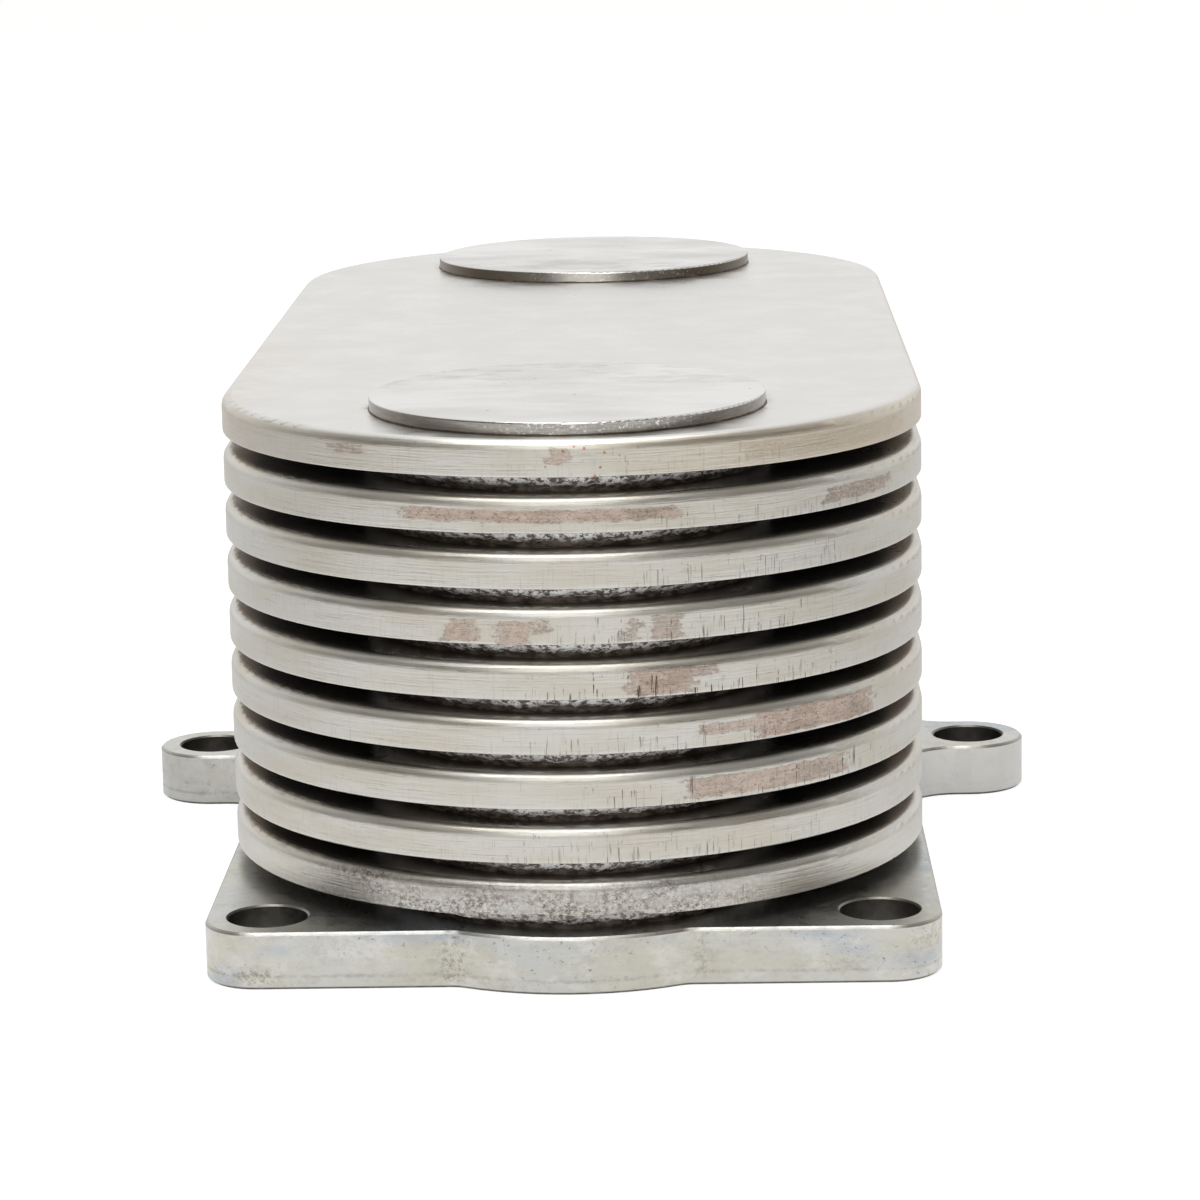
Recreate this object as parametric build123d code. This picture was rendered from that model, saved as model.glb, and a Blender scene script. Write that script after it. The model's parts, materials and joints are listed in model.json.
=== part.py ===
from build123d import *
import os

# Stacked-plate heat exchanger: nine stadium-shaped hollow elements brazed one above the
# other on a thick base plate. Two ports run up through the stack. Rings around each port
# hold the elements apart, and a cap disc closes each port at the top.
# Millimetres, +Z up. The origin is the middle of the base plate's underside.
# X runs across the stack, and Y runs along it, from the front port (-Y) to the rear (+Y).

# ---- driving dimensions -------------------------------------------------------------

# the stack
ELEMENT_COUNT = 9
ELEMENT_LENGTH = 224.0          # over the rounded ends
ELEMENT_WIDTH = 100.0           # the ends are half circles of this diameter
ELEMENT_HEIGHT = 5.0
ELEMENT_GAP = 2.5               # open air between two elements

# the two pressed plates of an element
PLATE_SHEET = 0.8
RIM_RADIUS = 1.5                # rounded upper edge of the upper plate
SKIRT_EDGE_RADIUS = 0.2         # outside of the upper plate's lower edge
PAN_RIM_CLEARANCE = 0.5         # from the lower plate's rim up to the upper plate's bend
PAN_BEND_RADIUS = 1.2           # outside of the lower plate's bend

# the corrugated sheet inside an element
FIN_SHEET = 0.3
FIN_PITCH = 4.0
FIN_EDGE_CLEARANCE = 0.5        # from the lower plate's rim
FIN_PORT_CLEARANCE = 3.0        # around each port

# the ports
PORT_DIAMETER = 38.0            # through every plate of the stack and the base plate
PORT_END_DISTANCE = 31.0        # from an element's end to the port's axis
RING_BORE_STEP = 1.0            # the ring's bore stands back from the port's edge
RING_WALL = 7.5
CAP_OVERLAP = 8.5               # how far a cap reaches past the port's edge
CAP_THICKNESS = 1.8
CAP_EDGE_RADIUS = 0.25

# the base plate
BASE_END_SETBACK = 3.0          # its straight end edges lie inside the elements' ends
BASE_SIDE_MARGIN = 0.5          # its straight side edges stand outside the elements' sides
BASE_THICKNESS = 8.0
BASE_CORNER_RADIUS = 7.5
BASE_EDGE_CHAMFER = 0.4
SWELL_BLEND_RADIUS = 4.0

# the bolt holes
BOLT_HOLE_DIAMETER = 11.0       # clears an M10 bolt
BOLT_HOLE_CHAMFER = 0.25
CORNER_HOLE_WALL = 3.0          # from a corner hole to the two straight edges beside it
EAR_HOLE_WALL = 3.25            # around an ear's hole
EAR_HOLE_REACH = 10.5           # from the side edge out to the ear hole's axis
EAR_BLEND_RADIUS = 8.0

# the seals under the base plate
SEAL_PORT_LAND = 2.5            # between the port and the seal
SEAL_SECTION = 3.5
SEAL_SIDE_CLEARANCE = 0.5       # between the seal and its groove's outer wall
SEAL_FACE_CLEARANCE = 0.1       # how far the seal stays above the underside
SEAL_OUTER_LAND = 6.5           # between the groove and the edge of the swell

# ---- sizes that follow --------------------------------------------------------------

STACK_PITCH = ELEMENT_HEIGHT + ELEMENT_GAP
STACK_TOP = BASE_THICKNESS + ELEMENT_COUNT * STACK_PITCH
PAN_RIM_HEIGHT = ELEMENT_HEIGHT - RIM_RADIUS - PAN_RIM_CLEARANCE
FIN_HEIGHT = ELEMENT_HEIGHT - 2 * PLATE_SHEET

PORT_Y = ELEMENT_LENGTH / 2 - PORT_END_DISTANCE
PORTS = {"front": -PORT_Y, "rear": PORT_Y}
RING_BORE = PORT_DIAMETER / 2 + RING_BORE_STEP
RING_RADIUS = RING_BORE + RING_WALL
CAP_RADIUS = PORT_DIAMETER / 2 + CAP_OVERLAP

SEAL_INNER_RADIUS = PORT_DIAMETER / 2 + SEAL_PORT_LAND
GROOVE_OUTER_RADIUS = SEAL_INNER_RADIUS + SEAL_SECTION + SEAL_SIDE_CLEARANCE
GROOVE_DEPTH = SEAL_SECTION + SEAL_FACE_CLEARANCE
SWELL_RADIUS = GROOVE_OUTER_RADIUS + SEAL_OUTER_LAND

BASE_LENGTH = ELEMENT_LENGTH - 2 * BASE_END_SETBACK
BASE_WIDTH = ELEMENT_WIDTH + 2 * BASE_SIDE_MARGIN
CORNER_HOLE_INSET = BOLT_HOLE_DIAMETER / 2 + CORNER_HOLE_WALL
EAR_RADIUS = BOLT_HOLE_DIAMETER / 2 + EAR_HOLE_WALL
EAR_HOLE_SPACING = BASE_WIDTH + 2 * EAR_HOLE_REACH


def element_base(number):
    """Height of an element's underside. Number 1 is the top element."""
    return STACK_TOP - (number - 1) * STACK_PITCH - ELEMENT_HEIGHT


def stadium(inset):
    """The element's outline, moved inwards by the inset."""
    return SlotOverall(ELEMENT_LENGTH - 2 * inset, ELEMENT_WIDTH - 2 * inset, rotation=90)


def both_ports(radius):
    """A circle of this radius at each port."""
    return Sketch() + [Pos(0, y, 0) * Circle(radius) for y in PORTS.values()]


# ---- pieces of one element, each with the element's underside at Z 0 -----------------

def upper_plate():
    """Pressed lid: a flat top, a rounded rim and a skirt down to the element's underside."""
    outside = extrude(stadium(0), ELEMENT_HEIGHT)
    outside = fillet(outside.faces().sort_by(Axis.Z)[-1].edges(), RIM_RADIUS)
    outside = fillet(outside.faces().sort_by(Axis.Z)[0].edges(), SKIRT_EDGE_RADIUS)
    inside = extrude(stadium(PLATE_SHEET), ELEMENT_HEIGHT - PLATE_SHEET)
    inside = fillet(inside.faces().sort_by(Axis.Z)[-1].edges(), RIM_RADIUS - PLATE_SHEET)
    return outside - inside - extrude(both_ports(PORT_DIAMETER / 2), ELEMENT_HEIGHT)


def lower_plate():
    """Pressed pan that fits inside the skirt, with its floor at the element's underside."""
    outside = extrude(stadium(PLATE_SHEET), PAN_RIM_HEIGHT)
    outside = fillet(outside.faces().sort_by(Axis.Z)[0].edges(), PAN_BEND_RADIUS)
    inside = Pos(0, 0, PLATE_SHEET) * extrude(stadium(2 * PLATE_SHEET), PAN_RIM_HEIGHT)
    inside = fillet(inside.faces().sort_by(Axis.Z)[0].edges(), PAN_BEND_RADIUS - PLATE_SHEET)
    return outside - inside - extrude(both_ports(PORT_DIAMETER / 2), PLATE_SHEET)


def fin_profile(width):
    """Section of the corrugated sheet: square waves that touch both plates."""
    waves = int(width / FIN_PITCH)
    start = -waves * FIN_PITCH / 2
    over = [(start, FIN_SHEET)]
    under = [(start, 0)]
    for wave in range(waves):
        rise = start + (wave + 0.25) * FIN_PITCH
        fall = start + (wave + 0.75) * FIN_PITCH
        half = FIN_SHEET / 2
        over += [(rise - half, FIN_SHEET), (rise - half, FIN_HEIGHT)]
        over += [(fall + half, FIN_HEIGHT), (fall + half, FIN_SHEET)]
        under += [(rise + half, 0), (rise + half, FIN_HEIGHT - FIN_SHEET)]
        under += [(fall - half, FIN_HEIGHT - FIN_SHEET), (fall - half, 0)]
    over.append((-start, FIN_SHEET))
    under.append((-start, 0))
    return make_face(Polyline(*over, *reversed(under), close=True))


def turbulator():
    """Corrugated sheet between the two plates, its waves running from port to port."""
    edge = 2 * PLATE_SHEET + FIN_EDGE_CLEARANCE
    section = Plane.XZ * fin_profile(ELEMENT_WIDTH - 2 * edge)
    waves = extrude(section, ELEMENT_LENGTH / 2, both=True)
    outline = extrude(stadium(edge), FIN_HEIGHT)
    cutouts = extrude(both_ports(PORT_DIAMETER / 2 + FIN_PORT_CLEARANCE), FIN_HEIGHT)
    return Pos(0, 0, PLATE_SHEET) * ((waves & outline) - cutouts)


# ---- ports --------------------------------------------------------------------------

def spacer_ring():
    """Ring that joins two elements around a port and keeps the gap between them."""
    return extrude(Circle(RING_RADIUS) - Circle(RING_BORE), ELEMENT_GAP)


def cap():
    """Disc that closes a port on top of the stack."""
    disc = extrude(Circle(CAP_RADIUS), CAP_THICKNESS)
    return fillet(disc.faces().sort_by(Axis.Z)[-1].edges(), CAP_EDGE_RADIUS)


# ---- base plate and seals -----------------------------------------------------------

def base_outline():
    """Long plate with a swell around each port at its ends and an ear on each side."""
    plate = fillet(Rectangle(BASE_WIDTH, BASE_LENGTH).vertices(), BASE_CORNER_RADIUS)
    plate += both_ports(SWELL_RADIUS)
    swell_corners = plate.vertices().filter_by(is_swell_corner)
    plate = fillet(swell_corners, SWELL_BLEND_RADIUS)
    plate += SlotOverall(EAR_HOLE_SPACING + 2 * EAR_RADIUS, 2 * EAR_RADIUS)
    ear_corners = plate.vertices().filter_by(is_ear_corner)
    return fillet(ear_corners, EAR_BLEND_RADIUS)


def is_swell_corner(vertex):
    """True where a swell's circle meets the straight end edge of the base plate."""
    at_end = abs(abs(vertex.Y) - BASE_LENGTH / 2) < 0.001
    return at_end and abs(vertex.X) < SWELL_RADIUS


def is_ear_corner(vertex):
    """True where an ear meets the straight side edge of the base plate."""
    at_side = abs(abs(vertex.X) - BASE_WIDTH / 2) < 0.001
    return at_side and abs(abs(vertex.Y) - EAR_RADIUS) < 0.001


def seal_groove():
    """Ring-shaped space that one seal sits in, open at the underside."""
    return extrude(Circle(GROOVE_OUTER_RADIUS) - Circle(SEAL_INNER_RADIUS), GROOVE_DEPTH)


def bolt_holes():
    """The six through holes, each with its chamfer at the upper face."""
    radius = BOLT_HOLE_DIAMETER / 2
    hole = extrude(Circle(radius), BASE_THICKNESS)
    hole += Pos(0, 0, BASE_THICKNESS - BOLT_HOLE_CHAMFER / 2) * Cone(
        radius, radius + BOLT_HOLE_CHAMFER, BOLT_HOLE_CHAMFER)
    corners = GridLocations(
        BASE_WIDTH - 2 * CORNER_HOLE_INSET, BASE_LENGTH - 2 * CORNER_HOLE_INSET, 2, 2)
    ears = GridLocations(EAR_HOLE_SPACING, 0, 2, 1)
    return [place * hole for place in list(corners) + list(ears)]


def base_plate():
    """Thick plate that carries the stack, with ports, bolt holes and seal grooves."""
    plate = extrude(base_outline(), BASE_THICKNESS)
    levels = plate.faces().sort_by(Axis.Z)
    plate = chamfer(levels[0].edges() + levels[-1].edges(), BASE_EDGE_CHAMFER)
    plate -= extrude(both_ports(PORT_DIAMETER / 2), BASE_THICKNESS)
    plate -= bolt_holes()
    return plate - [Pos(0, y, 0) * seal_groove() for y in PORTS.values()]


def o_ring():
    """Round-section seal, seated on its groove's roof and inner wall."""
    middle = SEAL_INNER_RADIUS + SEAL_SECTION / 2
    return Pos(0, 0, GROOVE_DEPTH - SEAL_SECTION / 2) * Torus(middle, SEAL_SECTION / 2)


# ---- the whole exchanger ------------------------------------------------------------

def exchanger():
    """Every piece in its place, by node name."""
    nodes = {"base_plate": base_plate()}
    element = {"upper_plate": upper_plate(), "lower_plate": lower_plate(),
               "turbulator": turbulator()}
    ring = spacer_ring()
    for number in range(1, ELEMENT_COUNT + 1):
        floor = element_base(number)
        for name, piece in element.items():
            nodes[f"{name}_{number}"] = Pos(0, 0, floor) * piece
        for end, y in PORTS.items():
            nodes[f"spacer_ring_{end}_{number}"] = Pos(0, y, floor - ELEMENT_GAP) * ring
    for end, y in PORTS.items():
        nodes[f"cap_{end}"] = Pos(0, y, STACK_TOP) * cap()
        nodes[f"o_ring_{end}"] = Pos(0, y, 0) * o_ring()
    return nodes


os.makedirs("parts", exist_ok=True)
for node, piece in exchanger().items():
    export_step(piece, f"parts/{node}.step")
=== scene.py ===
import json
import math

import bmesh
import bpy
from mathutils import Matrix, Vector, noise


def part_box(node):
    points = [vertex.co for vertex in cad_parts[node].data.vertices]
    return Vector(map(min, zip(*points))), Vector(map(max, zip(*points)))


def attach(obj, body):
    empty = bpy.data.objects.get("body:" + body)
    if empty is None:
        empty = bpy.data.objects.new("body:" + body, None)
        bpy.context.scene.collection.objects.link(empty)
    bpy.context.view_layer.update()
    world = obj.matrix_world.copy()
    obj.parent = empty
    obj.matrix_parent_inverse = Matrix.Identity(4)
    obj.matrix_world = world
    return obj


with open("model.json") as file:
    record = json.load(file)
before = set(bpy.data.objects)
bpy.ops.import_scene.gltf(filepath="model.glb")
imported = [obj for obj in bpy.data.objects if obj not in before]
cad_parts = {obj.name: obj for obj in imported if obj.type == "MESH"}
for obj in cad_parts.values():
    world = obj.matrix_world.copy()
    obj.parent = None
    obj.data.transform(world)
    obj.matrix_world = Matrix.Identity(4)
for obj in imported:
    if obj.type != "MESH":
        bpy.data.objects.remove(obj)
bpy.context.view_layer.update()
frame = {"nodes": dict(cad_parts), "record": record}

# Looks of the brazed plate heat exchanger. Lengths are millimetres in the part's own frame,
# except in the studio, and METRE turns them into Blender's metres.
METRE = 0.001
ELEMENTS = range(1, 10)         # number 1 is the top one
ENDS = ("front", "rear")        # the front end is at -Y
PLATE_SHEET = 0.8               # thickness of an upper plate


def in_mm(node):
    """Lowest and highest corner of a CAD node, in millimetres."""
    low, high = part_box(node)
    return low / METRE, high / METRE


TOP_PLATE_LOW, TOP_PLATE_HIGH = in_mm("upper_plate_1")
ELEMENT_HEIGHT = TOP_PLATE_HIGH.z - TOP_PLATE_LOW.z
HALF_WIDTH = TOP_PLATE_HIGH.x
STRAIGHT_END = TOP_PLATE_HIGH.y - HALF_WIDTH    # where the straight sides meet the round ends
BASE_TOP = in_mm("base_plate")[1].z
CAP_LOW, CAP_HIGH = in_mm("cap_front")
CAP_RADIUS = (CAP_HIGH.x - CAP_LOW.x) / 2
CAP_MIDDLE = (CAP_LOW.y + CAP_HIGH.y) / 2       # the rear cap's is the opposite

# ---- colours (linear) ---------------------------------------------------------------

STEEL = (0.595, 0.583, 0.545)
STEEL_WARM = (0.56, 0.53, 0.46)
# pale steel for brush strokes and flakes, also used as a painted highlight on the walls' lower edges
PALE_STEEL_AND_SHEEN = (0.68, 0.668, 0.632)
STEEL_DULL = (0.43, 0.42, 0.40)
# dark for specks, pores and marks, also used as a painted contact shadow on the base plate
SOOT_AND_SHADE = (0.055, 0.045, 0.038)

# paler copy of the sheet for the top element's level top: painted light
LIT_TOP_STEEL = (0.69, 0.68, 0.652)
LIT_TOP_STEEL_WARM = (0.668, 0.655, 0.62)
WALL_TAN = (0.61, 0.53, 0.41)
WALL_TAN_DARK = (0.47, 0.42, 0.33)
FLUX_BROWN = (0.40, 0.31, 0.21)
PINK_TINT = (0.66, 0.545, 0.47)
RUST = (0.42, 0.15, 0.05)

# dark tint deep in the gaps: partly heat tint, partly painted shade
INNER_TINT_AND_SHADE = (0.11, 0.092, 0.08)
# brown tint for stains, also used as the painted shade on the lids under the gaps
BROWN_TINT_AND_SHADE = (0.24, 0.205, 0.17)
# lighter brown painted light at the side ends of the gaps
LIT_GAP_END_BROWN = (0.44, 0.335, 0.25)
CRUST_BROWN = (0.125, 0.088, 0.07)

COPPER = (0.515, 0.41, 0.35)
COPPER_DARK = (0.385, 0.30, 0.25)
COPPER_BROWN = (0.33, 0.27, 0.215)
COPPER_RIM = (0.16, 0.12, 0.095)

BRAZE_BRIGHT = (0.92, 0.915, 0.90)
BRAZE_GREY = (0.46, 0.435, 0.41)
BRAZE_BROWN = (0.20, 0.165, 0.145)
BRAZE_DARK = (0.15, 0.125, 0.11)
# near-black of the cap seams, partly painted contact shadow
SEAM_DARK_SHADE = (0.07, 0.06, 0.05)
SEAM_BROWN = (0.20, 0.13, 0.08)
RING_BROWN = (0.045, 0.035, 0.03)

CAP_STEEL = (0.68, 0.67, 0.642)
CAP_STEEL_DULL = (0.60, 0.585, 0.56)
# darker cut wall of the caps, partly painted shade
CAP_WALL_SHADED = (0.33, 0.315, 0.285)
# brown painted dark reflection on the caps' walls towards their sides
CAP_WALL_REFLECTION_BROWN = (0.155, 0.12, 0.09)
SPECK_BROWN = (0.20, 0.11, 0.07)

BASE_STEEL = (0.57, 0.57, 0.545)
BASE_YELLOW = (0.545, 0.525, 0.435)
BASE_BLUE = (0.43, 0.465, 0.505)
# painted shade on the base plate's chamfers
ARRIS_SHADE_GREY = (0.36, 0.35, 0.325)
# painted shade in the bolt holes
BORE_SHADE_GREY = (0.20, 0.19, 0.17)
EAR_PALE = (0.72, 0.71, 0.685)
SCUFF_GREY = (0.17, 0.155, 0.13)
TIDE_OLIVE = (0.30, 0.28, 0.23)

FIN_STEEL = (0.52, 0.50, 0.47)
RUBBER = (0.012, 0.012, 0.013)
RUBBER_BLOOM = (0.035, 0.034, 0.033)


# ---- material nodes -----------------------------------------------------------------

class Finish:
    """A material being wired up. Its x, y, z are the surface point's place in millimetres, and
    up is 1 where the surface is level and 0 where it is upright. A mask runs from 0 to 1."""

    def __init__(self, name, metallic=1.0):
        self.material = bpy.data.materials.new(name)
        self.material.use_nodes = True
        self.tree = self.material.node_tree
        self.shader = self.tree.nodes["Principled BSDF"]
        self.shader.inputs["Metallic"].default_value = metallic
        coordinates = self.tree.nodes.new("ShaderNodeTexCoord")
        self.place = self.vector("SCALE", coordinates.outputs["Object"], 1 / METRE)
        self.x, self.y, self.z = self.split(self.place)
        self.up = self.math("ABSOLUTE", self.split(coordinates.outputs["Normal"])[2])

    def connect(self, socket, source):
        """Feeds a socket from another node, a colour or a plain value."""
        if isinstance(source, bpy.types.NodeSocket):
            self.tree.links.new(source, socket)
        elif isinstance(source, tuple) and len(source) == 3 and len(socket.default_value) == 4:
            socket.default_value = (*source, 1.0)
        else:
            socket.default_value = source

    def split(self, vector):
        node = self.tree.nodes.new("ShaderNodeSeparateXYZ")
        self.connect(node.inputs[0], vector)
        return node.outputs[0], node.outputs[1], node.outputs[2]

    def vector(self, operation, first, second):
        node = self.tree.nodes.new("ShaderNodeVectorMath")
        node.operation = operation
        self.connect(node.inputs[0], first)
        self.connect(node.inputs["Scale" if operation == "SCALE" else 1], second)
        return node.outputs[0]

    def math(self, operation, *values):
        node = self.tree.nodes.new("ShaderNodeMath")
        node.operation = operation
        for socket, value in zip(node.inputs, values):
            self.connect(socket, value)
        return node.outputs[0]

    def times(self, first, second):
        return self.math("MULTIPLY", first, second)

    def most(self, *masks):
        """The strongest of these masks at each point."""
        result = masks[0]
        for mask in masks[1:]:
            result = self.math("MAXIMUM", result, mask)
        return result

    def rise(self, value, low, high, start=0.0, end=1.0):
        """Smooth step from start to end as the value goes from low to high."""
        node = self.tree.nodes.new("ShaderNodeMapRange")
        node.interpolation_type = "SMOOTHSTEP"
        for socket, setting in zip(node.inputs, (value, low, high, start, end)):
            self.connect(socket, setting)
        return node.outputs[0]

    def band(self, value, low, high, soft):
        """1 between low and high, and 0 outside, with soft edges."""
        return self.times(self.rise(value, low - soft, low + soft),
                          self.rise(value, high + soft, high - soft))

    def noise(self, per_mm, detail=3.0, shift=0.0, roughness=0.5):
        """Noise with this many features to the millimetre along X, Y and Z."""
        scaled = self.vector("MULTIPLY", self.place, per_mm)
        node = self.tree.nodes.new("ShaderNodeTexNoise")
        self.connect(node.inputs["Vector"], self.vector("ADD", scaled, (shift, shift, shift)))
        node.inputs["Scale"].default_value = 1.0
        node.inputs["Detail"].default_value = detail
        node.inputs["Roughness"].default_value = roughness
        return node.outputs[0]

    def cells(self, per_mm):
        """Distance to the nearest of scattered points, in cells."""
        node = self.tree.nodes.new("ShaderNodeTexVoronoi")
        self.connect(node.inputs["Vector"], self.vector("MULTIPLY", self.place, per_mm))
        node.inputs["Scale"].default_value = 1.0
        return node.outputs["Distance"]

    def blend(self, amount, first, second):
        """The first colour where the amount is 0, and the second where it is 1."""
        node = self.tree.nodes.new("ShaderNodeMix")
        node.data_type = "RGBA"
        for socket, value in zip((node.inputs[0], node.inputs[6], node.inputs[7]),
                                 (amount, first, second)):
            self.connect(socket, value)
        return node.outputs[2]

    def bump(self, height, depth, below=None):
        """Relief of this depth in millimetres, laid over an earlier one."""
        node = self.tree.nodes.new("ShaderNodeBump")
        node.inputs["Distance"].default_value = depth * METRE
        self.connect(node.inputs["Height"], height)
        if below is not None:
            self.connect(node.inputs["Normal"], below)
        return node.outputs[0]

    def distance(self, across, along):
        """Length of a level line with these two sides."""
        square = self.math("ADD", self.times(across, across), self.times(along, along))
        return self.math("SQRT", square)

    def edge_depth(self):
        """How far a point lies inside the stack's outline."""
        along = self.math("SUBTRACT", self.math("ABSOLUTE", self.y), STRAIGHT_END)
        along = self.math("MAXIMUM", along, 0.0)
        return self.math("SUBTRACT", HALF_WIDTH, self.distance(self.x, along))

    def complete(self, colour, roughness, relief):
        self.connect(self.shader.inputs["Base Color"], colour)
        self.connect(self.shader.inputs["Roughness"], roughness)
        self.connect(self.shader.inputs["Normal"], relief)
        return self.material


# ---- steel of the elements ----------------------------------------------------------

# Smears of braze metal on the walls of the elements: the element's number, the end it is
# at, its reach in X, its reach in height over the element's underside, and its strength.
SMEARS = (
    (1, "front", -31, -27, 2.2, 3.4, 0.7),
    (1, "front", -2.2, 1.0, 1.8, 4.0, 0.8),
    (1, "front", 24, 46, 0.8, 3.2, 0.35),
    (2, "front", -21, 15.5, 1.5, 3.2, 1.0),
    (2, "front", 35, 44, 1.0, 3.0, 0.6),
    (4, "front", -15.8, -11.8, 0.4, 3.3, 0.9),
    (4, "front", -8.7, -4.4, 0.2, 3.3, 0.9),
    (4, "front", -4.0, -1.8, 1.6, 3.5, 0.6),
    (4, "front", 8.0, 9.8, 0.4, 3.4, 0.6),
    (4, "front", 11.5, 15.5, 0.4, 3.6, 0.75),
    (5, "front", 8.5, 17, 0.3, 3.8, 1.0),
    (5, "front", 15, 19.5, 2.4, 3.8, 0.8),
    (6, "front", 18, 27, 1.7, 3.2, 0.85),
    (6, "front", 25.5, 41.5, 0.4, 3.8, 1.0),
    (7, "front", 15.5, 37.5, 0.6, 3.4, 0.9),
    (9, "front", -33, -6, 2.4, 4.0, 0.25),
    (2, "rear", 5, 27, 1.2, 3.4, 0.8),
    (3, "rear", -36, -20, 0.6, 3.2, 0.8),
    (5, "rear", -12, 14, 1.6, 3.4, 0.9),
    (6, "rear", 25, 37, 0.3, 3.6, 0.8),
    (8, "rear", -40, -12, 0.6, 3.0, 0.9),
)

# Upright drag marks on the lower part of the walls: number, end, reach in X, strength.
DRAG_MARKS = (
    (1, "front", 4, 34, 0.35),
    (2, "front", 8, 42, 0.5),
    (3, "front", 7, 40, 0.6),
    (4, "front", 0, 34, 0.75),
    (5, "front", -4, 38, 1.0),
    (6, "front", -8, 30, 0.6),
    (7, "front", 2, 44, 0.8),
    (8, "front", -12, 34, 0.6),
    (9, "front", 4, 30, 0.6),
    (3, "rear", -30, 12, 0.7),
    (5, "rear", -40, 20, 0.9),
    (7, "rear", -10, 38, 0.8),
)
DRAG_EVERYWHERE = 0.12          # strength outside those reaches

# Flux stain round each cap's foot: the cap's middle in Y, and the stain's strength.
CAP_STAINS = (
    (CAP_MIDDLE, 0.75),
    (-CAP_MIDDLE, 0.6),
)
STAIN_WIDTH = 1.6

# Where a mark of the elements starts and where it is full.
TAN_RIGHT_X = (-10, 42)
TAN_LEFT_X = (-22, -46)
PINK_X = (-38, -50)
RUST_Y = (-100, -108)
GAP_SIDE_X = (41, 47)           # to either side
DEEP_IN_GAP = (1.8, 9.0)        # depth inside the stack's outline

# Where a mark lies from one side to the other.
RUST_REACH_X = (-3, 10)
PINK_REACH_Y = (-78, -20)
CRUST_REACH_X = (-34, 24)
HIGH_CRUST_REACH_X = (-38, -16)


class PlateFinish(Finish):
    """Steel of one element's upper plate, which knows where on its element a point is."""

    def __init__(self, number):
        super().__init__(f"plate_steel_{number}")
        self.number = number
        self.over_floor = self.math("SUBTRACT", self.z, in_mm(f"upper_plate_{number}")[0].z)
        self.depth = self.edge_depth()
        self.wall = self.rise(self.depth, 0.9, 0.2)         # the wall, and fading over its rim
        self.upright = self.rise(self.depth, 0.35, 0.1)     # the wall alone
        self.clouds = self.noise((0.06, 0.06, 0.25), 4, shift=number * 3.1)
        self.brushing = self.noise((0.10, 0.10, 3.2), 3, shift=number * 1.7, roughness=0.65)

    def at_end(self, end):
        """1 on the half of the part that this end belongs to."""
        return self.rise(self.y, 0, -1 if end == "front" else 1)


def brushed(finish):
    """Clouded sheet, with level brush strokes on its wall, a painted highlight that makes its lower edge
    paler, and on the top element a level top painted paler as painted light.
    """
    clouding = finish.rise(finish.clouds, 0.35, 0.68)
    colour = finish.blend(clouding, STEEL, STEEL_WARM)
    # painted light: the top element's level top is painted paler than its wall, though both are the same
    # sheet
    if finish.number == 1:
        painted_lit_top = finish.blend(finish.times(clouding, 0.5), LIT_TOP_STEEL, LIT_TOP_STEEL_WARM)
        colour = finish.blend(finish.wall, painted_lit_top, colour)
    streaks = finish.times(finish.upright, finish.rise(finish.brushing, 0.56, 0.78, 0, 0.55))
    colour = finish.blend(streaks, colour, PALE_STEEL_AND_SHEEN)
    streaks = finish.times(finish.upright, finish.rise(finish.brushing, 0.46, 0.28, 0, 0.6))
    colour = finish.blend(streaks, colour, STEEL_DULL)
    smudges = finish.noise((0.035, 0.02, 0.3), 5, shift=finish.number + 7)
    smudges = finish.times(finish.rise(finish.up, 0.6, 0.95), finish.rise(smudges, 0.58, 0.85, 0, 0.16))
    colour = finish.blend(smudges, colour, STEEL_DULL)
    # painted highlight: the wall's lower edge is painted paler, as if lit
    painted_lower_edge_highlight = finish.times(finish.wall, finish.rise(finish.over_floor, 0.7, 0.1, 0, 0.5))
    return finish.blend(painted_lower_edge_highlight, colour, PALE_STEEL_AND_SHEEN)


def smeared(finish, colour):
    """Adds the element's smears of braze metal, with ragged outlines, cracks and pores."""
    number = finish.number
    wander = finish.noise((0.5, 0.5, 0.8), 5, shift=number * 2.3, roughness=0.65)
    wander_x = finish.math("ADD", finish.x, finish.rise(wander, 0.25, 0.75, -1.4, 1.4))
    wander_z = finish.math("ADD", finish.over_floor, finish.rise(wander, 0.25, 0.75, -0.22, 0.22))
    masks = []
    for owner, end, left, right, low, high, strength in SMEARS:
        if owner == number:
            mask = finish.times(finish.band(wander_x, left, right, 0.9),
                                finish.band(wander_z, low, high, 0.14))
            mask = finish.times(finish.times(mask, finish.at_end(end)), strength)
            masks.append(finish.times(mask, finish.wall))
    if not masks:
        return colour

    smear = finish.most(*masks)
    pores = finish.noise((1.7, 1.7, 3.4), 4, shift=number * 4.1, roughness=0.75)
    veins = finish.noise((0.8, 0.8, 1.5), 2, shift=number * 7.7, roughness=0.6)
    cracks = finish.math("ABSOLUTE", finish.math("SUBTRACT", veins, 0.5))
    browner = finish.noise((0.12, 0.12, 0.5), 3, shift=number * 3.9)
    tone = finish.blend(finish.rise(wander, 0.42, 0.62, 0, 0.7), COPPER, COPPER_DARK)
    tone = finish.blend(finish.rise(browner, 0.48, 0.62, 0, 0.6), tone, COPPER_BROWN)
    tone = finish.blend(finish.rise(finish.brushing, 0.5, 0.7, 0, 0.4), tone, STEEL_WARM)
    tone = finish.blend(finish.rise(cracks, 0.022, 0.004, 0, 0.6), tone, SOOT_AND_SHADE)
    tone = finish.blend(finish.rise(pores, 0.66, 0.72, 0, 0.9), tone, SOOT_AND_SHADE)
    worn = finish.times(smear, finish.rise(pores, 0.2, 0.44, 0.25, 1.0))
    colour = finish.blend(worn, colour, tone)
    rim = finish.times(finish.band(smear, 0.3, 0.7, 0.15), finish.rise(pores, 0.4, 0.6, 0, 0.5))
    return finish.blend(rim, colour, COPPER_RIM)


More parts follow.
